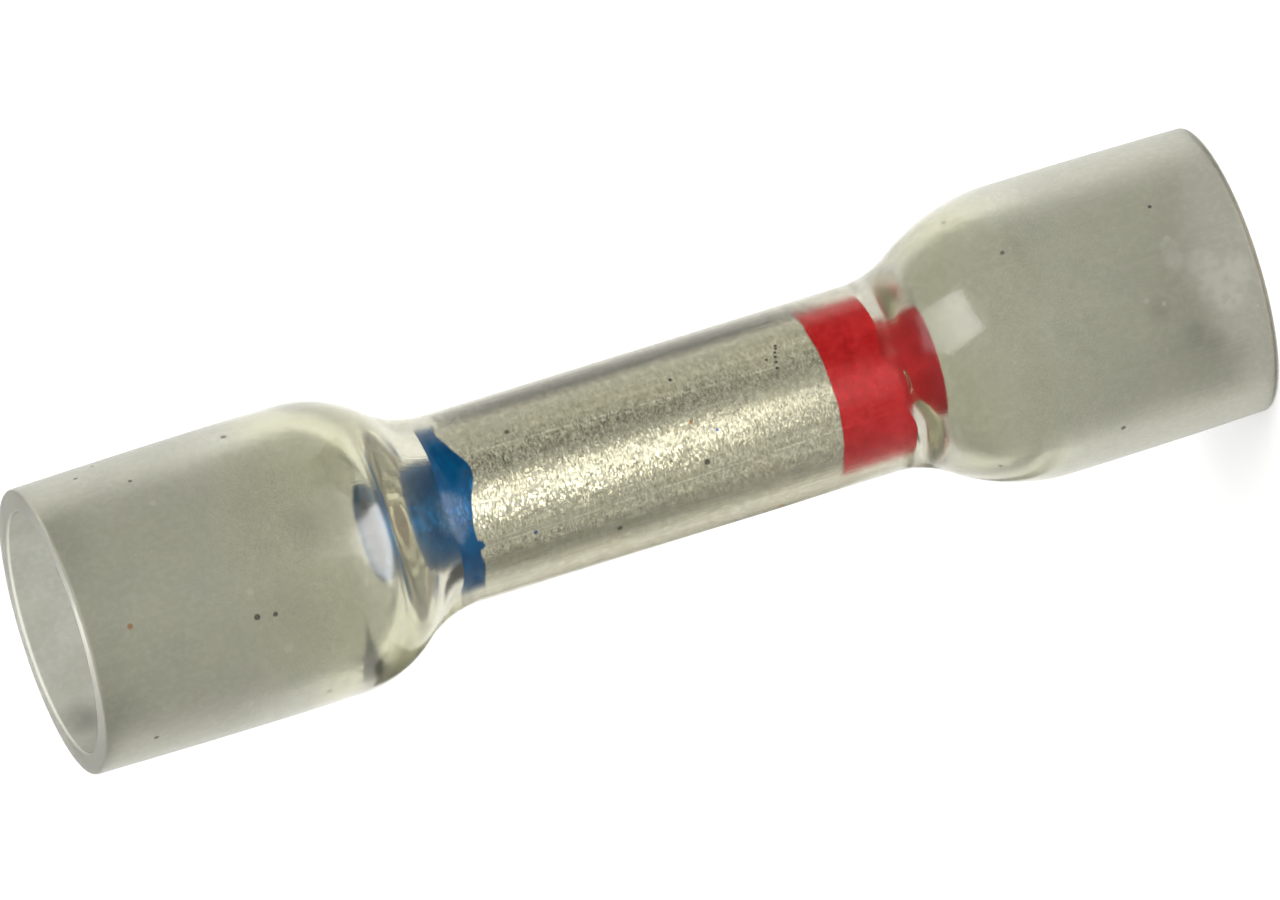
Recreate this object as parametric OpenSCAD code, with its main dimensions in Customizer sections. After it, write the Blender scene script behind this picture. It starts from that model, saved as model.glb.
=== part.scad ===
// Step-down butt splice connector: a plated crimp barrel inside a clear shrink sleeve.
// The sleeve is shrunk tightly over the barrel and keeps a wide bell at each end for the wire's insulation.
// A blue ink band marks the end for the thicker wire, and a red one the end for the thinner wire.
// The axis is +Z. The part stands on the rim of its red end, with the blue end up. All sizes are in millimetres.

/* [Sleeve outside] */
// Length from rim to rim
sleeve_length = 37.6; // [36:0.1:44]
// Outside diameter of a bell at its shoulder, where it is widest
bell_od = 9; // [8.4:0.1:10]
// How much less the outside diameter is at the cut rim
rim_taper = 0.15; // [0:0.05:0.3]
// Distance from the blue rim to the waist
blue_bell_length = 12.8; // [11:0.1:14]
// Distance from the red rim to the waist
red_bell_length = 11.5; // [10:0.1:13]
// Radius of the convex shoulder at the blue end
blue_shoulder_r = 3.6; // [2.5:0.1:5]
// Radius of the convex shoulder at the red end
red_shoulder_r = 5.8; // [3:0.1:7]
// Radius of the concave neck between a shoulder and the waist
neck_r = 3.1; // [2:0.1:4]
// Radius that breaks both edges of a cut rim
rim_round = 0.1; // [0.05:0.01:0.15]

/* [Sleeve inside] */
// Wall thickness of the bells
bell_wall = 0.75; // [0.5:0.05:1]
// Wall thickness of the waist
waist_wall = 1.22; // [0.9:0.02:1.5]
// Radius of the shoulder inside the blue bell
blue_inside_shoulder_r = 2.3; // [1.5:0.1:3.5]
// Radius of the shoulder inside the red bell
red_inside_shoulder_r = 5; // [3:0.1:6]
// Radius of the neck inside each bell
inside_neck_r = 2.7; // [2:0.1:3.5]
// How far before the waist the inside of the blue bell closes on the barrel
blue_seal_lead = 0.4; // [-0.6:0.05:0.8]
// The same for the red bell, which closes a little after the waist has begun
red_seal_lead = -0.45; // [-0.8:0.05:0.6]

/* [Crimp barrel] */
// Length of the barrel
barrel_length = 17.3; // [15:0.1:19]
// Outside diameter of the barrel
barrel_od = 3.2; // [3:0.05:3.6]
// How far the barrel sits from the waist's middle, towards the blue end
barrel_offset = 0.15; // [-0.5:0.05:0.5]
// Diameter of the bore for the thicker wire
blue_bore_d = 2.2; // [1.8:0.05:2.3]
// Diameter of the bore for the thinner wire
red_bore_d = 1.6; // [1.3:0.05:1.9]
// Solid metal left between the points of the two bores, which stops the wires
stop_web = 0.8; // [0.4:0.1:2]
// Point angle of the drill that made the bores
drill_angle = 118; // [90:1:140]
// Countersink at the mouth of each bore
mouth_chamfer = 0.15; // [0.05:0.05:0.2]
// Chamfer on the outer edge at each end
edge_break = 0.1; // [0.05:0.01:0.12]

/* [Ink bands] */
// Width of the blue band
blue_band_width = 2.2; // [1:0.05:4]
// Width of the red band
red_band_width = 3.35; // [1:0.05:5]
// Thickness of the ink
ink_film = 0.05; // [0.03:0.01:0.08]

/* [Fit] */
// Air gap between the ink and the shrunk sleeve
sleeve_gap = 0.03; // [0.02:0.01:0.1]

/* [Hidden] */
$fn = 96;

// Straight steps that stand for one rim edge, one bell crown and one shoulder or neck arc
RIM_STEPS = 3;
CROWN_STEPS = 4;
ARC_STEPS = 8;

bell_r = bell_od / 2;
rim_r = (bell_od - rim_taper) / 2;
bell_bore_r = bell_r - bell_wall;
barrel_r = barrel_od / 2;
waist_bore_r = barrel_r + ink_film + sleeve_gap;
waist_r = waist_bore_r + waist_wall;
waist_middle = (red_bell_length + sleeve_length - blue_bell_length) / 2;
barrel_bottom = waist_middle + barrel_offset - barrel_length / 2;
barrel_top = barrel_bottom + barrel_length;
bore_depth = (barrel_length - stop_web - point_height(blue_bore_d) - point_height(red_bore_d)) / 2;

// Height of the cone that the drill leaves at the bottom of a bore
function point_height(bore_d) = bore_d / 2 / tan(drill_angle / 2);

// Points of an arc in the half plane of a profile, as [radius, height], from the step named by first
function arc(centre, radius, from, to, steps, first = 0) =
    [for (i = [first : steps])
        let (angle = from + (to - from) * i / steps)
        centre + radius * [cos(angle), sin(angle)]];

// A convex shoulder and the concave neck after it, two arcs that meet on a common tangent.
// They lead from radius wide to radius narrow, which they reach at the given height.
function shoulder_and_neck(height, convex_r, concave_r, wide, narrow) =
    let (turn = acos(1 - (wide - narrow) / (convex_r + concave_r)))
    let (start = height - (convex_r + concave_r) * sin(turn))
    concat(
        arc([wide - convex_r, start], convex_r, 0, turn, ARC_STEPS),
        arc([narrow + concave_r, height], concave_r, 180 + turn, 180, ARC_STEPS, 1)
    );

// Slight crown of a bell, from the broken edge of its rim to the start of its shoulder
function bell_crown(shoulder_start) =
    [for (i = [1 : CROWN_STEPS - 1])
        let (along = i / CROWN_STEPS)
        [bell_r - (bell_r - rim_r) * pow(1 - along, 2), rim_round + (shoulder_start - rim_round) * along]];

// Outside of a bell, from its rim to the waist
function bell_outside(bell_length, shoulder_r) =
    let (curve = shoulder_and_neck(bell_length, shoulder_r, neck_r, bell_r, waist_r))
    concat(
        arc([rim_r - rim_round, rim_round], rim_round, -90, 0, RIM_STEPS),
        bell_crown(curve[0][1]),
        curve
    );

// Inside of a bell, from its rim to the height at which it closes on the barrel
function bell_inside(seal_height, shoulder_r) =
    concat(
        arc([bell_bore_r + rim_round, rim_round], rim_round, 270, 180, RIM_STEPS),
        shoulder_and_neck(seal_height, shoulder_r, inside_neck_r, bell_bore_r, waist_bore_r)
    );

// An outline with its points in the other order
function backwards(points) = [for (i = [len(points) - 1 : -1 : 0]) points[i]];

// An outline whose heights count upwards from a level
function up_from(level, points) = [for (p = points) [p[0], level + p[1]]];

// An outline whose heights count downwards from a level
function down_from(level, points) = [for (p = points) [p[0], level - p[1]]];

// Clear sleeve: one tube with a bell at each end and its waist shrunk over the barrel
module heat_shrink_sleeve() {
    color([0.72, 0.73, 0.66, 0.5])
        rotate_extrude()
            polygon(concat(
                bell_outside(red_bell_length, red_shoulder_r),
                backwards(down_from(sleeve_length, bell_outside(blue_bell_length, blue_shoulder_r))),
                down_from(
                    sleeve_length,
                    bell_inside(blue_bell_length - blue_seal_lead, blue_inside_shoulder_r)
                ),
                backwards(bell_inside(red_bell_length - red_seal_lead, red_inside_shoulder_r))
            ));
}

// One end of the turned barrel, from the point of its bore to its outer wall
function barrel_end(bore_d) = [
    [0, bore_depth + point_height(bore_d)],
    [bore_d / 2, bore_depth],
    [bore_d / 2, mouth_chamfer],
    [bore_d / 2 + mouth_chamfer, 0],
    [barrel_r - edge_break, 0],
    [barrel_r, edge_break]
];

// Plated barrel, bored from both ends so that a solid web is left between
module crimp_barrel() {
    color([0.71, 0.70, 0.63])
        rotate_extrude()
            polygon(concat(
                up_from(barrel_bottom, barrel_end(red_bore_d)),
                backwards(down_from(barrel_top, barrel_end(blue_bore_d)))
            ));
}

// A ring of ink on the barrel's outer wall
module ink_band(bottom, width) {
    translate([0, 0, bottom])
        rotate_extrude()
            translate([barrel_r, 0])
                square([ink_film, width]);
}

// Band at the thicker wire's end, up to the barrel's chamfered edge
module blue_ink_band() {
    color([0.02, 0.33, 0.60])
        ink_band(barrel_top - edge_break - blue_band_width, blue_band_width);
}

// Band at the thinner wire's end, up to the barrel's chamfered edge
module red_ink_band() {
    color([0.75, 0.16, 0.19])
        ink_band(barrel_bottom + edge_break, red_band_width);
}

heat_shrink_sleeve();
crimp_barrel();
blue_ink_band();
red_ink_band();
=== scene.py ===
"""Looks of a step-down butt splice connector: clear sleeve, tin-plated barrel and two ink bands."""

import math

import bpy
from mathutils import Matrix, Vector


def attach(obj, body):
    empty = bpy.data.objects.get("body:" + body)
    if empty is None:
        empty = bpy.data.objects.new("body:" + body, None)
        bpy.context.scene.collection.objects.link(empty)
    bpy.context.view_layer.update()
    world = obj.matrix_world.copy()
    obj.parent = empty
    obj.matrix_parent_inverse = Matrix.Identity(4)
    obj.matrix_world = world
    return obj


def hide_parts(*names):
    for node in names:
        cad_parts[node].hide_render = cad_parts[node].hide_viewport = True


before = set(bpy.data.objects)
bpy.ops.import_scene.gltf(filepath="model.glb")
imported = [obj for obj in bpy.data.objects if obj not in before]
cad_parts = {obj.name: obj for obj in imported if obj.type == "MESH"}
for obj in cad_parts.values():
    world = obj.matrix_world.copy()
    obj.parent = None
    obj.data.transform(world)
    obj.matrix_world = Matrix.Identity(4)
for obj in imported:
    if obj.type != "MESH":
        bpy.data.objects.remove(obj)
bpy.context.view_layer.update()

MM = 0.001

# Sizes of the connector, as in the part's source
SLEEVE_LENGTH = 37.6 * MM
BELL_WALL = 0.75 * MM
BELL_R = 4.5 * MM
RIM_R = 4.425 * MM
RIM_ROUND = 0.1 * MM
WAIST_R = 2.9 * MM
NECK_R = 3.1 * MM
INSIDE_NECK_R = 2.7 * MM
BLUE_BELL_LENGTH = 12.8 * MM
BLUE_SHOULDER_R = 3.6 * MM
BLUE_INSIDE_SHOULDER_R = 2.3 * MM
BLUE_INSIDE_LENGTH = 12.4 * MM
RED_BELL_LENGTH = 11.5 * MM
RED_SHOULDER_R = 5.8 * MM
RED_INSIDE_SHOULDER_R = 5.0 * MM
RED_INSIDE_LENGTH = 11.95 * MM
BARREL_R = 1.6 * MM
BARREL_BOTTOM = 9.65 * MM
BARREL_TOP = 26.95 * MM
BLUE_BORE_R = 1.1 * MM
RED_BORE_R = 0.8 * MM
BORE_DEPTH = 7.679 * MM
DRILL_HALF_ANGLE = math.radians(59)
MOUTH_CHAMFER = 0.15 * MM
EDGE_BREAK = 0.1 * MM
INK_FILM = 0.05 * MM
BLUE_BAND_WIDTH = 2.2 * MM
RED_BAND_WIDTH = 3.35 * MM

# The sealed stretch of the sleeve wets the barrel, so its inside lies this far under the barrel's surface
GRIP = 0.004 * MM

# How finely the pieces are turned
SLEEVE_SEGMENTS = 192
BARREL_SEGMENTS = 160
BAND_SEGMENTS = 256
ARC_STEPS = 18
STRAIGHT_STEPS = 12
RIM_STEPS = 5
MERGE_DISTANCE = 1e-7
SMOOTH_ANGLE = math.radians(40)

# Where the seal's edge moves along the barrel: from which azimuth to which, in degrees from the front, then
# move and reach in millimetres
RED_SEAL_PULLS = ((62, 118, -0.75, 1.7), (-100, -55, -0.3, 1.4), (8, 14, -0.4, 0.8))
BLUE_SEAL_PULLS = ((-105, -50, -0.15, 1.4), (28, 62, -0.25, 1.2))
RED_SEAL_HEIGHTS = (11.3 * MM, 12.2 * MM)
BLUE_SEAL_HEIGHTS = (24.9 * MM, 25.6 * MM)
# Points of the sleeve that lie nearer the axis than this belong to its inside at the seal
SEAL_R = BARREL_R * 1.2

# Dabs of the brush along the edge of each ink band: azimuth, then move and reach in millimetres
BLUE_EDGE_DABS = (
    (-29, -0.30, 0.75),
    (24, 0.20, 0.9),
    (41.5, -0.17, 0.13),
    (53, 0.10, 0.3),
    (-85, 0.25, 0.9),
    (128, -0.16, 0.6),
    (-140, 0.14, 0.7),
    (176, -0.10, 0.4),
)
RED_EDGE_DABS = (
    (-60, 0.04, 0.5),
    (15, -0.03, 0.4),
    (75, 0.04, 0.5),
    (160, 0.06, 0.6),
    (-130, -0.05, 0.6),
)
# A dab takes the points this many degrees to either side of it and this near the edge
DAB_HALF_WIDTH = 1.2
DAB_DEPTH = 0.4 * MM


def arc(centre_r, centre_z, radius, start, end, steps=ARC_STEPS):
    """Points of an arc, as (radius, height), from one angle to another."""
    angles = [math.radians(start + (end - start) * i / steps) for i in range(steps + 1)]
    return [(centre_r + radius * math.cos(a), centre_z + radius * math.sin(a)) for a in angles]


def straight(a, b, steps=STRAIGHT_STEPS):
    """Points between a and b, without the two ends."""
    return [
        (a[0] + (b[0] - a[0]) * i / steps, a[1] + (b[1] - a[1]) * i / steps)
        for i in range(1, steps)
    ]


def shoulder_and_neck(height, convex_r, concave_r, wide, narrow):
    """A convex arc and a concave one on a common tangent, from radius wide to radius narrow."""
    reach = convex_r + concave_r
    turn = math.acos(1 - (wide - narrow) / reach)
    start = height - reach * math.sin(turn)
    turn = math.degrees(turn)
    convex = arc(wide - convex_r, start, convex_r, 0, turn)
    concave = arc(narrow + concave_r, height, concave_r, 180 + turn, 180)
    return convex + concave[1:]


def bell_outside(bell_length, shoulder_r):
    """Outside of a bell from its rim to the waist, slightly crowned."""
    rim = arc(RIM_R - RIM_ROUND, RIM_ROUND, RIM_ROUND, -90, 0, RIM_STEPS)
    curve = shoulder_and_neck(bell_length, shoulder_r, NECK_R, BELL_R, WAIST_R)
    start = curve[0][1]
    crown = []
    for i in range(1, STRAIGHT_STEPS):
        along = i / STRAIGHT_STEPS
        r = BELL_R - (BELL_R - RIM_R) * (1 - along) ** 2
        crown.append((r, RIM_ROUND + (start - RIM_ROUND) * along))
    return rim + crown + curve


def bell_inside(inside_length, shoulder_r):
    """Inside of a bell from its rim to the sealed stretch, straight up to the shoulder."""
    bore_r = BELL_R - BELL_WALL
    rim = arc(bore_r + RIM_ROUND, RIM_ROUND, RIM_ROUND, 270, 180, RIM_STEPS)
    curve = shoulder_and_neck(inside_length, shoulder_r, INSIDE_NECK_R, bore_r, BARREL_R - GRIP)
    return rim + straight(rim[-1], curve[0]) + curve


def from_top(points, top=SLEEVE_LENGTH):
    """An outline whose heights count down from the top."""
    return [(r, top - z) for r, z in points]


def deselect_all():
    """Leaves edit mode and selects nothing."""
    if bpy.context.mode != "OBJECT":
        bpy.ops.object.mode_set(mode="OBJECT")
    bpy.ops.object.select_all(action="DESELECT")


def turn_piece(name, outline, segments, closed):
    """Turns an outline of radius and height about Z, as on a lathe, and returns the piece."""
    deselect_all()
    bpy.ops.mesh.primitive_plane_add(size=MM, location=(0, 0, 0))
    piece = bpy.context.object
    piece.name = name
    piece.data.name = name
    bpy.ops.object.mode_set(mode="EDIT")
    bpy.ops.mesh.select_all(action="SELECT")
    bpy.ops.mesh.merge(type="CENTER")
    bpy.ops.mesh.select_all(action="SELECT")
    r, z = outline[0]
    bpy.ops.transform.translate(value=(r, 0, z))
    points = outline + outline[:1] if closed else outline
    for next_r, next_z in points[1:]:
        step = {"value": (next_r - r, 0, next_z - z)}
        bpy.ops.mesh.extrude_vertices_move(TRANSFORM_OT_translate=step)
        r, z = next_r, next_z
    bpy.ops.mesh.select_all(action="SELECT")
    bpy.ops.mesh.spin(steps=segments, angle=2 * math.pi, center=(0, 0, 0), axis=(0, 0, 1))
    bpy.ops.mesh.select_all(action="SELECT")
    bpy.ops.mesh.remove_doubles(threshold=MERGE_DISTANCE)
    bpy.ops.mesh.select_all(action="SELECT")
    bpy.ops.mesh.normals_make_consistent(inside=False)
    bpy.ops.object.mode_set(mode="OBJECT")
    bpy.ops.object.shade_smooth_by_angle(angle=SMOOTH_ANGLE)
    return piece


def azimuth(place):
    """Degrees round the axis from the front, counted towards -X."""
    return math.degrees(math.atan2(-place[0], -place[1]))


def pull(piece, chosen, move, reach):
    """Moves the chosen points of a piece and draws the wall round them along, fading over the reach."""
    deselect_all()
    bpy.context.view_layer.objects.active = piece
    piece.select_set(True)
    bpy.ops.object.mode_set(mode="EDIT")
    bpy.ops.mesh.select_mode(type="VERT")
    bpy.ops.mesh.select_all(action="DESELECT")
    bpy.ops.object.mode_set(mode="OBJECT")
    for vertex in piece.data.vertices:
        vertex.select = chosen(vertex.co)
    bpy.ops.object.mode_set(mode="EDIT")
    bpy.ops.transform.translate(
        value=(0, 0, move),
        use_proportional_edit=True,
        use_proportional_connected=True,
        proportional_edit_falloff="SMOOTH",
        proportional_size=reach,
    )
    bpy.ops.object.mode_set(mode="OBJECT")


def pull_seal(sleeve, heights, pulls):
    """Lets the edge of the sealed stretch wander along the barrel, as it does where the plastic wets it."""
    bottom, top = heights
    for start, end, move, reach in pulls:

        def chosen(place):
            inside = math.hypot(place.x, place.y) < SEAL_R
            return inside and bottom < place.z < top and start < azimuth(place) < end

        pull(sleeve, chosen, move * MM, reach * MM)


def make_sleeve():
    """The clear sleeve: one wall, with a bell at each end and its waist shrunk over the barrel."""
    red_outside = bell_outside(RED_BELL_LENGTH, RED_SHOULDER_R)
    blue_outside = from_top(bell_outside(BLUE_BELL_LENGTH, BLUE_SHOULDER_R))
    red_inside = bell_inside(RED_INSIDE_LENGTH, RED_INSIDE_SHOULDER_R)
    blue_inside = from_top(bell_inside(BLUE_INSIDE_LENGTH, BLUE_INSIDE_SHOULDER_R))
    outline = red_outside + straight(red_outside[-1], blue_outside[-1])
    outline += blue_outside[::-1]
    outline += blue_inside + straight(blue_inside[-1], red_inside[-1])
    outline += red_inside[::-1]
    sleeve = turn_piece("clear_sleeve", outline, SLEEVE_SEGMENTS, closed=True)
    pull_seal(sleeve, RED_SEAL_HEIGHTS, RED_SEAL_PULLS)
    pull_seal(sleeve, BLUE_SEAL_HEIGHTS, BLUE_SEAL_PULLS)
    return sleeve


def barrel_end(bore_r):
    """One end of the barrel, from the point of its bore to its outer wall, with heights from the end."""
    point = BORE_DEPTH + bore_r / math.tan(DRILL_HALF_ANGLE)
    return [
        (0, point),
        (bore_r, BORE_DEPTH),
        (bore_r, MOUTH_CHAMFER),
        (bore_r + MOUTH_CHAMFER, 0),
        (BARREL_R - EDGE_BREAK, 0),
        (BARREL_R, EDGE_BREAK),
    ]


def make_barrel():
    """The turned barrel, bored from both ends."""
    red_end = [(r, BARREL_BOTTOM + z) for r, z in barrel_end(RED_BORE_R)]
    blue_end = from_top(barrel_end(BLUE_BORE_R), BARREL_TOP)
    wall = straight(red_end[-1], blue_end[-1])
    return turn_piece("tin_barrel", red_end + wall + blue_end[::-1], BARREL_SEGMENTS, closed=False)


def make_band(name, bottom, width, edge, dabs):
    """A ring of ink on the barrel's wall, with one edge brushed on by hand."""
    inner, outer = BARREL_R - INK_FILM / 2, BARREL_R + INK_FILM
    low, high = (outer, bottom), (outer, bottom + width)
    outline = [(inner, bottom), low] + straight(low, high) + [high, (inner, bottom + width)]
    band = turn_piece(name, outline, BAND_SEGMENTS, closed=True)
    for centre, move, reach in dabs:

        def chosen(place):
            return abs(place.z - edge) < DAB_DEPTH and abs(azimuth(place) - centre) < DAB_HALF_WIDTH

        pull(band, chosen, move * MM, reach * MM)
    return band


def add(tree, kind, inputs=None, **settings):
    """Adds a node, sets it and links or fills its inputs."""
    made = tree.nodes.new(kind)
    for name, value in settings.items():
        setattr(made, name, value)
    for name, value in (inputs or {}).items():
        socket = made.inputs[name]
        if isinstance(value, bpy.types.NodeSocket):
            tree.links.new(value, socket)
        else:
            socket.default_value = value
    return made


def math_node(tree, operation, a, b=0.0):
    """The result of one sum."""
    return add(tree, "ShaderNodeMath", {0: a, 1: b}, operation=operation).outputs[0]


def vector_node(tree, operation, a, b=None, scale=None):
    """The result of one vector sum: a value for a distance, and otherwise a vector."""
    inputs = {0: a}
    if b is not None:
        inputs[1] = b
    if scale is not None:
        inputs[3] = scale
    made = add(tree, "ShaderNodeVectorMath", inputs, operation=operation)
    return made.outputs["Value" if operation == "DISTANCE" else "Vector"]


def parts_of(tree, vector):
    """The X, Y and Z of a vector."""
    return add(tree, "ShaderNodeSeparateXYZ", {"Vector": vector}).outputs


def mix_colour(tree, factor, a, b):
    """A colour between a and b."""
    return add(tree, "ShaderNodeMix", {"Factor": factor, 6: a, 7: b}, data_type="RGBA").outputs[2]


def mix_value(tree, factor, a, b):
    """A value between a and b."""
    return add(tree, "ShaderNodeMix", {"Factor": factor, "A": a, "B": b}, data_type="FLOAT").outputs[0]


def stain(tree, colour, mask, strength, tint):
    """A colour that goes some of the way to a tint where the mask says."""
    return mix_colour(tree, math_node(tree, "MULTIPLY", mask, strength), colour, tint)


def ramp(tree, value, low, high, to_low, to_high, smooth=True):
    """A value moved from one range to another."""
    made = add(
        tree,
        "ShaderNodeMapRange",
        {"Value": value, "From Min": low, "From Max": high, "To Min": to_low, "To Max": to_high},
        interpolation_type="SMOOTHSTEP" if smooth else "LINEAR",
    )
    return made.outputs["Result"]


def noise(tree, vector, scale, detail=2.0):
    """Soft noise from 0 to 1."""
    made = add(tree, "ShaderNodeTexNoise", {"Vector": vector, "Scale": scale, "Detail": detail})
    return made.outputs["Fac"]


def new_material(name):
    """A material with a bare Principled shader."""
    material = bpy.data.materials.new(name)
    material.use_nodes = True
    tree = material.node_tree
    tree.nodes.clear()
    shader = add(tree, "ShaderNodeBsdfPrincipled")
    output = add(tree, "ShaderNodeOutputMaterial")
    tree.links.new(shader.outputs["BSDF"], output.inputs["Surface"])
    return material, tree, shader


def place_in_mm(tree):
    """The place on the piece in millimetres."""
    place = add(tree, "ShaderNodeTexCoord").outputs["Object"]
    scaled = add(tree, "ShaderNodeMapping", {"Vector": place, "Scale": (1 / MM, 1 / MM, 1 / MM)})
    return scaled.outputs["Vector"]


def new_group(name, inputs, outputs):
    """An empty node group with the named sockets, and the sockets of its two end nodes."""
    group = bpy.data.node_groups.new(name, "ShaderNodeTree")
    for label, kind in inputs:
        group.interface.new_socket(label, in_out="INPUT", socket_type="NodeSocket" + kind)
    for label, kind in outputs:
        group.interface.new_socket(label, in_out="OUTPUT", socket_type="NodeSocket" + kind)
    return group, add(group, "NodeGroupInput").outputs, add(group, "NodeGroupOutput").inputs


def use(tree, group, inputs):
    """Places a node group in a material and returns its outputs."""
    return add(tree, "ShaderNodeGroup", inputs, node_tree=group).outputs


def make_flake_group():
    """Plating made of fine flakes, each tilted its own way and a little lighter or darker."""
    group, given, out = new_group(
        "plating_flakes",
        (("Place", "Vector"), ("Flake", "Float"), ("Tilt", "Float")),
        (("Normal", "Vector"), ("Shade", "Float")),
    )
    scale = math_node(group, "DIVIDE", 1.0, given["Flake"])
    cells = add(group, "ShaderNodeTexVoronoi", {"Vector": given["Place"], "Scale": scale}).outputs
    centred = vector_node(group, "SUBTRACT", cells["Color"], (0.5, 0.5, 0.5))
    tilt = vector_node(group, "SCALE", centred, scale=given["Tilt"])
    normal = add(group, "ShaderNodeNewGeometry").outputs["Normal"]
    tilted = vector_node(group, "NORMALIZE", vector_node(group, "ADD", normal, tilt))
    group.links.new(tilted, out["Normal"])
    group.links.new(parts_of(group, cells["Color"])["X"], out["Shade"])
    return group


def make_line_group():
    """Fine lines along the piece, as drawing and sliding leave them."""
    group, given, out = new_group(
        "lengthwise_lines",
        (("Place", "Vector"), ("Fineness", "Float"), ("Along", "Float")),
        (("Mask", "Float"),),
    )
    parts = parts_of(group, given["Place"])
    across = add(group, "ShaderNodeCombineXYZ", {"X": parts["X"], "Y": parts["Y"]}).outputs[0]
    ring = vector_node(group, "SCALE", vector_node(group, "NORMALIZE", across), scale=given["Fineness"])
    along = math_node(group, "MULTIPLY", parts["Z"], given["Along"])
    lift = add(group, "ShaderNodeCombineXYZ", {"Z": along}).outputs[0]
    lines = noise(group, vector_node(group, "ADD", ring, lift), 1.0, 3.0)
    group.links.new(ramp(group, lines, 0.3, 0.7, 0, 1), out["Mask"])
    return group


def make_dust_group():
    """Scattered specks of dust: one in some of the cells of a loose grid."""
    group, given, out = new_group(
        "dust_specks",
        (("Place", "Vector"), ("Spacing", "Float"), ("Size", "Float"), ("Share", "Float")),
        (("Mask", "Float"),),
    )
    scale = math_node(group, "DIVIDE", 1.0, given["Spacing"])
    cells = add(group, "ShaderNodeTexVoronoi", {"Vector": given["Place"], "Scale": scale}).outputs
    chance = parts_of(group, cells["Color"])
    chosen = math_node(group, "LESS_THAN", chance["X"], given["Share"])
    size = math_node(group, "MULTIPLY", given["Size"], chance["Y"])
    near = ramp(group, math_node(group, "DIVIDE", cells["Distance"], size), 0.6, 1.0, 1, 0)
    group.links.new(math_node(group, "MULTIPLY", chosen, near), out["Mask"])
    return group


FLAKES = make_flake_group()
LINES = make_line_group()
DUST = make_dust_group()

# Stretches of the sleeve: heights in millimetres at which each starts, is full, is last full and has ended
TIGHT_STRETCH = (9.2, 10.8, 25.8, 27.6)
WAIST_STRETCH = (11.0, 12.6, 24.0, 25.4)
BETWEEN_RIMS = (0.02, 0.12, 37.48, 37.58)
# The stretch inside the blue mouth that is darkened as painted shade
SHADED_MOUTH = (34.8, 36.0, 40.0, 41.0)
POLISHED_STRETCH = (5.2, 8.2, 29.8, 32.8)
GLOSSY_STRETCH = (6.4, 8.2, 29.6, 31.4)
DULL_STRETCH = (9.0, 10.6, 26.0, 27.6)
WAIST_MIDDLE = 18.15

# Tints of the plastic, outside and inside: its own faint yellow, plus a grey, most on the bells, that is
# painted shade of darker surroundings seen through it
BELL_SHADE_TINT = (0.64, 0.64, 0.55, 1)
TIGHT_TINT = (0.62, 0.60, 0.51, 1)
WAIST_TINT = (0.50, 0.475, 0.375, 1)
RIM_TINT = (0.95, 0.95, 0.90, 1)
BELL_INSIDE_SHADE_TINT = (0.42, 0.42, 0.385, 1)
TIGHT_INSIDE_TINT = (0.80, 0.77, 0.69, 1)
# Painted shade inside the blue mouth: over its far wall, and darker in a few spots
MOUTH_SHADE_TINT = (0.20, 0.20, 0.175, 1)
MOUTH_SHADE_SPOT_TINT = (0.05, 0.05, 0.045, 1)

# Tints of the wear on the plastic, with a painted highlight and painted shade among its marks
HAZE_TINT = (0.40, 0.41, 0.38, 1)
MOTTLE_TINT = (0.85, 0.85, 0.78, 1)
# Pale of the scuffs by the red rim, which also paints a highlight
SCUFF_AND_HIGHLIGHT_TINT = (0.97, 0.97, 0.92, 1)
# Grey of the smudges, which near the red rim is painted shade
SMUDGE_AND_SHADE_TINT = (0.22, 0.22, 0.21, 1)
SCRATCH_TINT = (1.0, 0.98, 0.92, 1)
DRAG_TINT = (0.80, 0.80, 0.76, 1)
DUST_TINT = (1.0, 1.0, 0.97, 1)
RUST_TINT = (0.50, 0.16, 0.05, 1)
BLUE_SPECK_TINT = (0.02, 0.05, 0.35, 1)
DARK_SPECK_TINT = (0.01, 0.01, 0.01, 1)

# Colour that light takes on its way through the plastic
DEPTH_TINT = (0.90, 0.82, 0.20, 1)
DEPTH_DENSITY = 15.0
SLEEVE_IOR = 1.5

# Roughness of the sleeve, and the fine noise that spreads the change from satin to polished over the bells
SATIN_ROUGHNESS = 0.32
POLISHED_ROUGHNESS = 0.12
WAIST_ROUGHNESS = 0.13
RIM_ROUGHNESS = 0.32
SATIN_INSIDE_ROUGHNESS = 0.24
POLISHED_INSIDE_ROUGHNESS = 0.05
DITHER_SCALE = 120.0
DITHER_REACH = 9.0

# Gloss over the outside: its strength on the bells, the shoulders and the waist, and its colour
BELL_GLOSS = 0.2
SHOULDER_GLOSS = 1.0
WAIST_GLOSS = 0.1
GLOSS_ROUGHNESS = 0.15
GLOSS_TINT = (0.97, 0.965, 0.88, 1)
SPECULAR_TINT = (0.15, 0.15, 0.15, 1)

# Relief of the sleeve in millimetres: a faint orange peel and the lines along it
PEEL_DEPTH = 0.004
LINE_DEPTH = 0.0015

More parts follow.
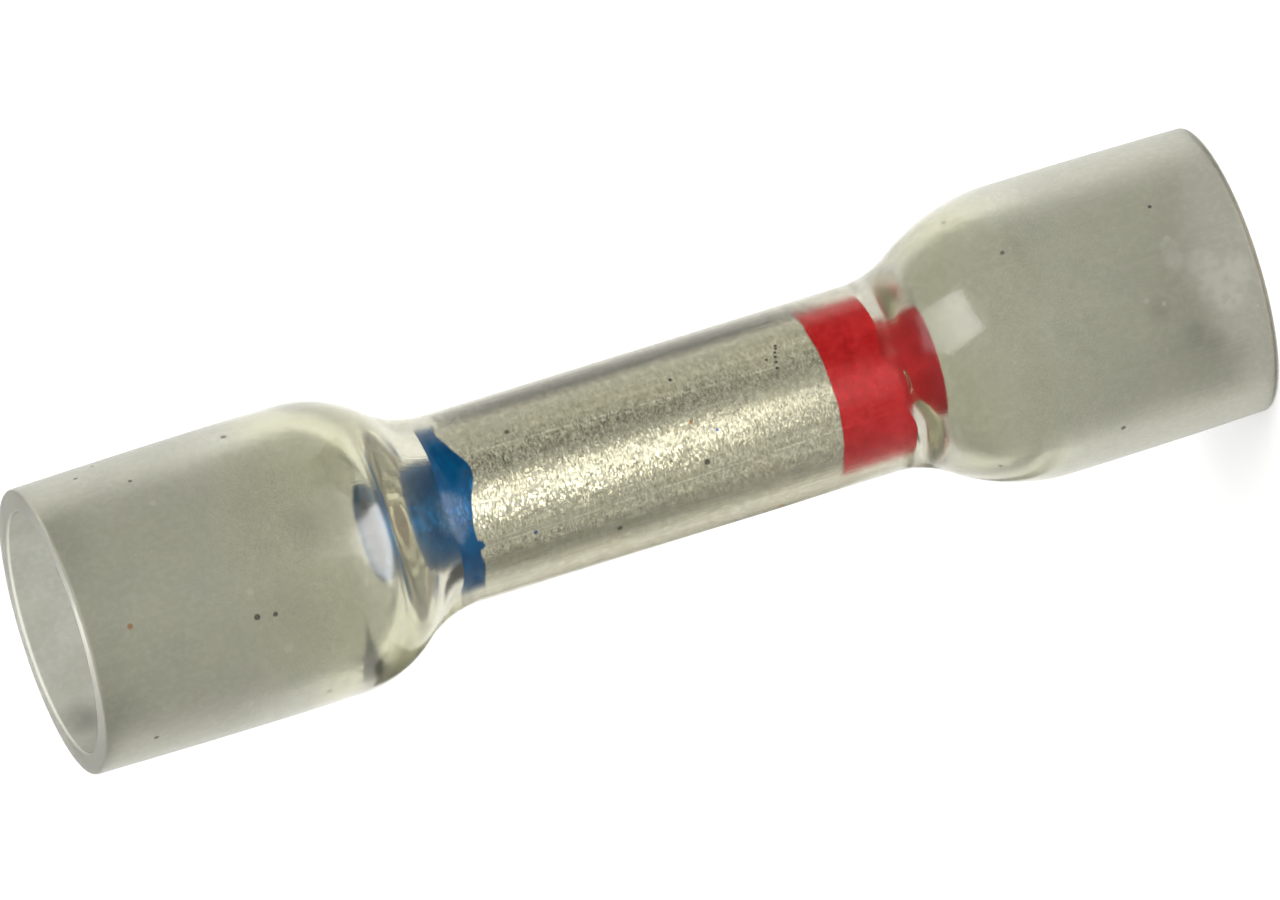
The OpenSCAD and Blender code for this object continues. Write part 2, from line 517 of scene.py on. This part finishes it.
# Specks on the sleeve's outside: azimuth, height and size, the last two in millimetres
DARK_SPECKS = (
    (-63.8, 31.29, 0.13),
    (-68.8, 35.87, 0.09),
    (-77.7, 35.13, 0.09),
    (17.7, 32.44, 0.13),
    (18.7, 31.88, 0.10),
    (60.8, 35.97, 0.10),
    (65.7, 30.46, 0.10),
    (-53.7, 34.54, 0.08),
    (-81.9, 8.03, 0.12),
    (-32.9, 7.30, 0.09),
    (-32.8, 2.56, 0.08),
    (54.2, 5.06, 0.10),
    (65.8, 8.77, 0.09),
    (-35.6, 23.09, 0.10),
    (18.8, 17.60, 0.12),
    (44.8, 20.58, 0.11),
    (-36.5, 17.84, 0.08),
)
BLUE_SPECKS = ((29.2, 23.19, 0.09), (2.2, 17.05, 0.07))
RUST_SPECKS = ((6.6, 36.23, 0.12), (78.3, 15.32, 0.16), (-6.8, 17.74, 0.08))
PALE_SPECKS = (
    (-38.4, 34.27, 0.14),
    (34.1, 31.68, 0.20),
    (7.6, 32.46, 0.14),
    (-17.8, 2.47, 0.14),
    (-8.0, 2.6, 0.10),
    (3.0, 3.7, 0.12),
    (6.0, 3.2, 0.10),
)

# A short dark hair on the waist, as a row of small specks
HAIR = (
    (-37.5, 14.45, 0.07),
    (-35.5, 14.48, 0.06),
    (-33.0, 14.55, 0.06),
    (-30.0, 14.60, 0.06),
    (-26.5, 14.64, 0.06),
    (-22.8, 14.68, 0.07),
    (-29.9, 14.89, 0.06),
)

# Grey smudges, one on the blue bell and, near the red rim, painted shade of the far rim seen through the
# wall; pale scuffs near the red rim that also paint a highlight: azimuth, height and size
SMUDGES_AND_SHADE = (
    (-12, 30.3, 0.9),
    (22, 2.4, 0.7),
    (27, 1.9, 0.8),
    (33, 1.2, 0.7),
    (8, 3.4, 0.6),
)
RIM_SCUFFS_AND_HIGHLIGHT = (
    (-3, 1.7, 0.75),
    (4, 1.5, 0.8),
    (10, 1.2, 0.75),
    (2, 0.8, 0.7),
    (-9, 2.5, 0.45),
    (-15, 2.5, 0.4),
)

# Painted shade on the far wall inside the blue mouth: azimuth, height, radius and size
MOUTH_SHADE_SPOTS = ((118, 36.3, 3.75, 1.1), (132, 36.8, 3.75, 1.2), (104, 36.0, 3.75, 0.8))

# Long scratches on the waist: azimuth at its middle and drift in degrees a millimetre
SCRATCHES = ((-25.5, 0.55), (26.0, -0.4))

# Tin plate: its dark and bright flakes, dull streaks, fine bright lines and pits
DARK_FLAKE_TINT = (0.42, 0.42, 0.37, 1)
BRIGHT_FLAKE_TINT = (0.80, 0.80, 0.72, 1)
STREAK_TINT = (0.30, 0.30, 0.26, 1)
FINE_LINE_TINT = (0.90, 0.89, 0.82, 1)
PIT_TINT = (0.10, 0.10, 0.09, 1)
PLATE_ROUGHNESS = (0.18, 0.28)

# Heights in millimetres between which each dye begins on the barrel's chamfered ends
BLUE_END = (26.80, 26.86)
RED_END = (9.74, 9.80)

# The thick and the thin places of each dye, and how much paler a worn place is
BLUE_DYE = ((0.001, 0.075, 0.25, 1), (0.002, 0.12, 0.35, 1))
RED_DYE = ((0.70, 0.022, 0.030, 1), (0.86, 0.040, 0.050, 1))
WORN_GAIN = 1.4
WORN_LIFT = 0.02
INK_METALLIC = 0.5
INK_ROUGHNESS = 0.26
INK_SPECULAR = 0.05


def outside_r(height):
    """Radius of the sleeve's outside at a height, in millimetres."""
    red = bell_outside(RED_BELL_LENGTH, RED_SHOULDER_R)
    blue = from_top(bell_outside(BLUE_BELL_LENGTH, BLUE_SHOULDER_R))[::-1]
    outline = red + blue
    for (r, z), (next_r, next_z) in zip(outline, outline[1:]):
        if z <= height * MM <= next_z and next_z > z:
            return (r + (next_r - r) * (height * MM - z) / (next_z - z)) / MM
    return BELL_R / MM


def on_wall(angle, height, radius):
    """A place from its azimuth in degrees, its height and its distance from the axis."""
    turn = math.radians(angle)
    return (-math.sin(turn) * radius, -math.cos(turn) * radius, height)


def marks(tree, mm, spots, softness):
    """A mask of round marks, each given by azimuth, height, radius from the axis and size."""
    nearest = 1.0
    for angle, height, radius, size in spots:
        away = vector_node(tree, "DISTANCE", mm, on_wall(angle, height, radius))
        nearest = math_node(tree, "MINIMUM", math_node(tree, "DIVIDE", away, size), nearest)
    return ramp(tree, nearest, 1.0 - softness, 1.0, 1, 0)


def outside_marks(tree, mm, spots, softness):
    """A mask of marks on the sleeve's outside, each given by azimuth, height and size."""
    placed = [(angle, height, outside_r(height), size) for angle, height, size in spots]
    return marks(tree, mm, placed, softness)


def height_mask(tree, mm, stretch):
    """A mask of a stretch along the axis, with soft ends."""
    height = parts_of(tree, mm)["Z"]
    low, full, last, gone = stretch
    up = ramp(tree, height, low, full, 0, 1)
    down = ramp(tree, height, last, gone, 1, 0)
    return math_node(tree, "MULTIPLY", up, down)


def mark_bore(sleeve):
    """Writes an attribute that is 1 on the sleeve's inside wall and 0 on its outside."""
    layer = sleeve.data.attributes.new("bore", "FLOAT", "POINT")
    for vertex, value in zip(sleeve.data.vertices, layer.data):
        outward = vertex.normal.x * vertex.co.x + vertex.normal.y * vertex.co.y
        value.value = 1.0 if outward < 0 else 0.0


def draw_scratch(tree, mm, angle, drift):
    """A fine broken line along the waist, at an azimuth that drifts by some degrees a millimetre."""
    parts = parts_of(tree, mm)
    left = math_node(tree, "MULTIPLY", parts["X"], -1.0)
    front = math_node(tree, "MULTIPLY", parts["Y"], -1.0)
    turn = math_node(tree, "DEGREES", math_node(tree, "ARCTAN2", left, front))
    below = math_node(tree, "SUBTRACT", WAIST_MIDDLE, parts["Z"])
    drifted = math_node(tree, "MULTIPLY", below, drift)
    off = math_node(tree, "SUBTRACT", math_node(tree, "SUBTRACT", turn, angle), drifted)
    thin = ramp(tree, math_node(tree, "ABSOLUTE", off), 0.3, 0.9, 1, 0)
    along = add(tree, "ShaderNodeCombineXYZ", {"Z": parts["Z"]}).outputs[0]
    breaks = ramp(tree, noise(tree, along, 0.9, 1.0), 0.38, 0.58, 0, 1)
    return math_node(tree, "MULTIPLY", thin, breaks)


def sleeve_tint(tree, mm, bore, waist):
    """The plastic's tint outside and inside, its grey painted shade, with painted shade inside the blue
    mouth.
    """
    tight = height_mask(tree, mm, TIGHT_STRETCH)
    # The grey of these tints is painted shade, strongest on the bells
    outside = mix_colour(tree, tight, BELL_SHADE_TINT, TIGHT_TINT)
    outside = mix_colour(tree, waist, outside, WAIST_TINT)
    inside = mix_colour(tree, tight, BELL_INSIDE_SHADE_TINT, TIGHT_INSIDE_TINT)
    # Painted shade: the far wall inside the blue mouth is darkened towards the rim, more in a few spots
    far_wall = ramp(tree, parts_of(tree, mm)["Y"], -0.5, 1.0, 0, 1)
    mouth_shade = math_node(tree, "MULTIPLY", height_mask(tree, mm, SHADED_MOUTH), far_wall)
    inside = mix_colour(tree, mouth_shade, inside, MOUTH_SHADE_TINT)
    inside = stain(tree, inside, marks(tree, mm, MOUTH_SHADE_SPOTS, 1.0), 0.8, MOUTH_SHADE_SPOT_TINT)
    return mix_colour(tree, bore, outside, inside)


def sleeve_wear(tree, mm, colour, open_side, waist, lines):
    """Haze, mottling, scuffs that paint a highlight, smudges that partly paint shade, scratches, drag
    lines, dust and specks on the plastic.
    """
    haze = ramp(tree, noise(tree, mm, 0.7, 3.0), 0.35, 0.75, 0, 0.30)
    colour = mix_colour(tree, haze, colour, HAZE_TINT)
    mottle = ramp(tree, noise(tree, mm, 5.0, 3.0), 0.42, 0.68, 0, 0.40)
    mottle = math_node(tree, "MULTIPLY", mottle, open_side)
    colour = mix_colour(tree, mottle, colour, MOTTLE_TINT)
    # Pale scuffs by the red rim, which also paint the highlight of a reflection there
    patchy = ramp(tree, noise(tree, mm, 3.0, 3.0), 0.30, 0.60, 0.25, 0.75)
    scuffed_and_lit = math_node(tree, "MULTIPLY", outside_marks(tree, mm, RIM_SCUFFS_AND_HIGHLIGHT, 0.6), patchy)
    colour = mix_colour(tree, scuffed_and_lit, colour, SCUFF_AND_HIGHLIGHT_TINT)
    # Grey smudges; near the red rim they paint the shade of the far rim seen through the wall
    colour = stain(tree, colour, outside_marks(tree, mm, SMUDGES_AND_SHADE, 1.0), 0.45, SMUDGE_AND_SHADE_TINT)
    first, second = [draw_scratch(tree, mm, angle, drift) for angle, drift in SCRATCHES]
    scratch = math_node(tree, "MULTIPLY", math_node(tree, "MAXIMUM", first, second), waist)
    colour = stain(tree, colour, scratch, 0.7, SCRATCH_TINT)
    colour = mix_colour(tree, ramp(tree, lines, 0.55, 1.0, 0, 0.20), colour, DRAG_TINT)
    dust = use(tree, DUST, {"Place": mm, "Spacing": 0.35, "Size": 0.16, "Share": 0.22})["Mask"]
    dust = math_node(tree, "MULTIPLY", dust, open_side)
    pale = math_node(tree, "MAXIMUM", dust, outside_marks(tree, mm, PALE_SPECKS, 0.5))
    colour = stain(tree, colour, pale, 0.7, DUST_TINT)
    colour = mix_colour(tree, outside_marks(tree, mm, RUST_SPECKS, 0.5), colour, RUST_TINT)
    colour = mix_colour(tree, outside_marks(tree, mm, BLUE_SPECKS, 0.5), colour, BLUE_SPECK_TINT)
    return stain(tree, colour, outside_marks(tree, mm, DARK_SPECKS + HAIR, 0.4), 0.95, DARK_SPECK_TINT)


def sleeve_roughness(tree, mm, bore, waist):
    """Satin on the bells and polished towards the waist, outside and inside."""
    dither = math_node(tree, "SUBTRACT", noise(tree, mm, DITHER_SCALE, 0.0), 0.5)
    dither = math_node(tree, "MULTIPLY", dither, DITHER_REACH)
    moved = vector_node(tree, "ADD", mm, add(tree, "ShaderNodeCombineXYZ", {"Z": dither}).outputs[0])
    polished = height_mask(tree, moved, POLISHED_STRETCH)
    outside = mix_value(tree, polished, SATIN_ROUGHNESS, POLISHED_ROUGHNESS)
    outside = mix_value(tree, waist, outside, WAIST_ROUGHNESS)
    inside = mix_value(tree, polished, SATIN_INSIDE_ROUGHNESS, POLISHED_INSIDE_ROUGHNESS)
    return mix_value(tree, bore, outside, inside)


def sleeve_gloss(tree, mm, bore):
    """Gloss on the outside: most on the shoulders, least on the waist."""
    gloss = mix_value(tree, height_mask(tree, mm, GLOSSY_STRETCH), BELL_GLOSS, SHOULDER_GLOSS)
    gloss = mix_value(tree, height_mask(tree, mm, DULL_STRETCH), gloss, WAIST_GLOSS)
    return mix_value(tree, bore, gloss, 0.0)


def sleeve_relief(tree, mm, lines):
    """A normal with a faint orange peel and the lines along the sleeve."""
    peel = math_node(tree, "MULTIPLY", noise(tree, mm, 2.4, 1.0), PEEL_DEPTH)
    ridges = math_node(tree, "MULTIPLY", lines, LINE_DEPTH)
    height = math_node(tree, "ADD", peel, ridges)
    bump = add(tree, "ShaderNodeBump", {"Strength": 1.0, "Distance": MM, "Height": height})
    return bump.outputs["Normal"]


def make_sleeve_material():
    """Clear plastic, faintly yellow, hazier on the bells than where it grips the barrel."""
    material, tree, shader = new_material("clear_sleeve_plastic")
    mm = place_in_mm(tree)
    bore = add(tree, "ShaderNodeAttribute", attribute_name="bore").outputs["Fac"]
    open_side = math_node(tree, "SUBTRACT", 1.0, bore)
    waist = height_mask(tree, mm, WAIST_STRETCH)
    between = height_mask(tree, mm, BETWEEN_RIMS)
    lines = use(tree, LINES, {"Place": mm, "Fineness": 60.0, "Along": 0.10})["Mask"]
    lines = math_node(tree, "MULTIPLY", lines, open_side)
    colour = sleeve_wear(tree, mm, sleeve_tint(tree, mm, bore, waist), open_side, waist, lines)
    tree.links.new(mix_colour(tree, between, RIM_TINT, colour), shader.inputs["Base Color"])
    rough = sleeve_roughness(tree, mm, bore, waist)
    tree.links.new(mix_value(tree, between, RIM_ROUGHNESS, rough), shader.inputs["Roughness"])
    tree.links.new(sleeve_relief(tree, mm, lines), shader.inputs["Normal"])
    tree.links.new(sleeve_gloss(tree, mm, bore), shader.inputs["Coat Weight"])
    shader.inputs["Coat Roughness"].default_value = GLOSS_ROUGHNESS
    shader.inputs["Coat Tint"].default_value = GLOSS_TINT
    shader.inputs["Specular Tint"].default_value = SPECULAR_TINT
    shader.inputs["IOR"].default_value = SLEEVE_IOR
    shader.inputs["Transmission Weight"].default_value = 1.0
    depth = add(tree, "ShaderNodeVolumeAbsorption", {"Color": DEPTH_TINT, "Density": DEPTH_DENSITY})
    tree.links.new(depth.outputs["Volume"], tree.nodes["Material Output"].inputs["Volume"])
    return material


def make_barrel_material():
    """Warm silver tin plate: fine bright flakes, dull streaks along it and a few dark pits."""
    material, tree, shader = new_material("tin_plate")
    mm = place_in_mm(tree)
    flakes = use(tree, FLAKES, {"Place": mm, "Flake": 0.038, "Tilt": 0.26})
    streaks = use(tree, LINES, {"Place": mm, "Fineness": 5.0, "Along": 0.03})["Mask"]
    fine = use(tree, LINES, {"Place": mm, "Fineness": 40.0, "Along": 0.10})["Mask"]
    pits = use(tree, DUST, {"Place": mm, "Spacing": 0.5, "Size": 0.12, "Share": 0.15})["Mask"]
    colour = mix_colour(tree, flakes["Shade"], DARK_FLAKE_TINT, BRIGHT_FLAKE_TINT)
    colour = stain(tree, colour, streaks, 0.30, STREAK_TINT)
    colour = stain(tree, colour, fine, 0.15, FINE_LINE_TINT)
    colour = stain(tree, colour, pits, 0.7, PIT_TINT)
    height = parts_of(tree, mm)["Z"]
    colour = mix_colour(tree, ramp(tree, height, *BLUE_END, 0, 1), colour, BLUE_DYE[1])
    colour = mix_colour(tree, ramp(tree, height, *RED_END, 1, 0), colour, RED_DYE[1])
    tree.links.new(colour, shader.inputs["Base Color"])
    tree.links.new(ramp(tree, streaks, 0, 1, *PLATE_ROUGHNESS), shader.inputs["Roughness"])
    tree.links.new(flakes["Normal"], shader.inputs["Normal"])
    shader.inputs["Metallic"].default_value = 1.0
    return material


def make_ink_material(name, dark, light):
    """A film of dye over the plating, a little uneven, through which the flakes still glint."""
    material, tree, shader = new_material(name)
    mm = place_in_mm(tree)
    flakes = use(tree, FLAKES, {"Place": mm, "Flake": 0.06, "Tilt": 0.30})
    mottle = ramp(tree, noise(tree, mm, 2.5, 4.0), 0.3, 0.7, 0, 1)
    colour = mix_colour(tree, mottle, dark, light)
    scuffs = use(tree, LINES, {"Place": mm, "Fineness": 45.0, "Along": 0.5})["Mask"]
    worn = ramp(tree, scuffs, 0.82, 1.0, 0, 0.35)
    worn_tint = [min(1, WORN_GAIN * part + WORN_LIFT) for part in light[:3]] + [1]
    tree.links.new(mix_colour(tree, worn, colour, worn_tint), shader.inputs["Base Color"])
    tree.links.new(flakes["Normal"], shader.inputs["Normal"])
    shader.inputs["Metallic"].default_value = INK_METALLIC
    shader.inputs["Roughness"].default_value = INK_ROUGHNESS
    shader.inputs["Specular IOR Level"].default_value = INK_SPECULAR
    return material


# The floor, and how much whiter it looks than the lamps make it
FLOOR_SIZE = 6
FLOOR_TINT = (0.93, 0.93, 0.92, 1)
FLOOR_LIFT = 0.35
MATT = 0.9

# How bright the sky is as light and as seen
SKY_LIGHT = 0.65
SKY_SEEN = 1.0

# Dark cards: azimuth, distance from the axis, size and shade. They lie just above the floor.
DARK_CARD = (-58, 0.080, (0.055, 0.085), 0.06)
SIDE_FLAG = (132, 0.078, (0.075, 0.062), 0.10)
CARD_HEIGHT = 0.0008

# Lamps: place, the point that each faces, size in metres and power in watts. The last two lie flat on the
# floor as bright cards, one a little above the other, because lamps in one plane hide each other.
KEY_SOFTBOX = ((0.215, -0.32, 0.41), (0, 0, 0.015), (0.40, 0.30), 1.9)
FRONT_CARD = ((-0.006, -0.080, 0.001), (-0.006, -0.080, 1), (0.030, 0.08), 0.018)
NEAR_CARD = ((-0.007, -0.064, 0.0025), (-0.007, -0.064, 1), (0.036, 0.082), 0.09)
NEAR_CARD_SPREAD = 140

# The camera looks down at the connector by this angle, from this far
TILT = math.radians(13.4)
CAMERA_DISTANCE = 0.9
# Direction of the connector's upward axis in the photograph, right and up
AXIS_IN_IMAGE = (-math.cos(math.radians(17.25)), -math.sin(math.radians(17.25)))
VIEW_WIDTH = 38.17 * MM
SENSOR = 36.0

# Light that runs along inside the clear wall is reflected many times before it leaves
MAX_BOUNCES = 12
GLOSSY_BOUNCES = 8
TRANSMISSION_BOUNCES = 10


def seen_directly(tree):
    """1 for a ray from the camera, off a glossy surface or through a clear one, 0 for any other."""
    path = add(tree, "ShaderNodeLightPath").outputs
    either = math_node(tree, "MAXIMUM", path["Is Camera Ray"], path["Is Glossy Ray"])
    return math_node(tree, "MAXIMUM", either, path["Is Transmission Ray"])


def make_matt_material(name, colour):
    """A material with no gloss at all."""
    material, tree, shader = new_material(name)
    shader.inputs["Base Color"].default_value = colour
    shader.inputs["Roughness"].default_value = MATT
    shader.inputs["Specular IOR Level"].default_value = 0.0
    return material, tree, shader


def make_floor():
    """A plain pale floor."""
    deselect_all()
    bpy.ops.mesh.primitive_plane_add(size=FLOOR_SIZE, location=(0, 0, 0))
    floor = bpy.context.object
    floor.name = "floor"
    material, tree, shader = make_matt_material("pale_floor", FLOOR_TINT)
    shader.inputs["Emission Color"].default_value = (1, 1, 1, 1)
    lift = math_node(tree, "MULTIPLY", seen_directly(tree), FLOOR_LIFT)
    tree.links.new(lift, shader.inputs["Emission Strength"])
    floor.data.materials.append(material)


def make_card(name, angle, distance, size, shade):
    """A dark card on the floor beside the view, which only reflections and refractions show."""
    deselect_all()
    place = on_wall(angle, CARD_HEIGHT, distance)
    bpy.ops.mesh.primitive_plane_add(size=1, location=place, rotation=(0, 0, -math.radians(angle)))
    card = bpy.context.object
    card.scale = (size[0], size[1], 1)
    card.name = name
    card.visible_camera = False
    card.visible_shadow = False
    card.visible_diffuse = False
    card.data.materials.append(make_matt_material(name, (shade, shade, shade, 1))[0])


def make_light(name, place, target, size, power, spread=180):
    """A soft rectangular lamp that points at a target."""
    lamp = bpy.data.lights.new(name, "AREA")
    lamp.shape = "RECTANGLE"
    lamp.size, lamp.size_y = size
    lamp.energy = power
    lamp.spread = math.radians(spread)
    made = bpy.data.objects.new(name, lamp)
    bpy.context.scene.collection.objects.link(made)
    made.location = place
    made.rotation_euler = (Vector(target) - Vector(place)).to_track_quat("-Z", "Y").to_euler()
    made.visible_camera = False
    return made


def make_camera():
    """A long lens turned so that the connector lies slantwise across the picture."""
    back = Vector((0, -math.cos(TILT), math.sin(TILT)))
    upright = Vector((0, math.sin(TILT), math.cos(TILT)))
    side = Vector((1, 0, 0))
    across, along = AXIS_IN_IMAGE
    right = along * side + across * upright
    up = -across * side + along * upright
    lens = bpy.data.cameras.new("camera")
    lens.sensor_width = SENSOR
    lens.lens = SENSOR * CAMERA_DISTANCE / VIEW_WIDTH
    lens.clip_start = 0.01
    lens.clip_end = 20
    camera = bpy.data.objects.new("camera", lens)
    bpy.context.scene.collection.objects.link(camera)
    centre = Vector((0, 0, SLEEVE_LENGTH / 2))
    turned = Matrix((right, up, back)).transposed().to_4x4()
    camera.matrix_world = Matrix.Translation(centre + back * CAMERA_DISTANCE) @ turned
    bpy.context.scene.camera = camera


def make_world():
    """Even soft light from all round."""
    world = bpy.data.worlds.new("soft_light")
    world.use_nodes = True
    sky = world.node_tree.nodes["Background"]
    sky.inputs["Color"].default_value = (1, 1, 1, 1)
    strength = ramp(world.node_tree, seen_directly(world.node_tree), 0, 1, SKY_LIGHT, SKY_SEEN, False)
    world.node_tree.links.new(strength, sky.inputs["Strength"])
    bpy.context.scene.world = world


sleeve = make_sleeve()
mark_bore(sleeve)
sleeve.data.materials.append(make_sleeve_material())
barrel = make_barrel()
barrel.data.materials.append(make_barrel_material())
blue_bottom = BARREL_TOP - EDGE_BREAK - BLUE_BAND_WIDTH
blue_band = make_band("blue_ink", blue_bottom, BLUE_BAND_WIDTH, blue_bottom, BLUE_EDGE_DABS)
blue_band.data.materials.append(make_ink_material("blue_ink_film", *BLUE_DYE))
red_bottom = BARREL_BOTTOM + EDGE_BREAK
red_band = make_band("red_ink", red_bottom, RED_BAND_WIDTH, red_bottom + RED_BAND_WIDTH, RED_EDGE_DABS)
red_band.data.materials.append(make_ink_material("red_ink_film", *RED_DYE))

for piece, node, slot in (
    (sleeve, "heat_shrink_sleeve", "clear_sleeve"),
    (barrel, "crimp_barrel", "tin_plate"),
    (blue_band, "blue_ink_band", "blue_ink"),
    (red_band, "red_ink_band", "red_ink"),
):
    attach(piece, "root")
    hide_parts(node)

make_floor()
make_card("dark_card", *DARK_CARD)
make_card("side_flag", *SIDE_FLAG)
make_world()
make_light("key_softbox", *KEY_SOFTBOX)
make_light("front_card", *FRONT_CARD)
near_card = make_light("near_card", *NEAR_CARD, NEAR_CARD_SPREAD)
near_card.visible_diffuse = False
make_camera()
bpy.context.scene.view_settings.view_transform = "Standard"
bpy.context.scene.cycles.max_bounces = MAX_BOUNCES
bpy.context.scene.cycles.glossy_bounces = GLOSSY_BOUNCES
bpy.context.scene.cycles.transmission_bounces = TRANSMISSION_BOUNCES
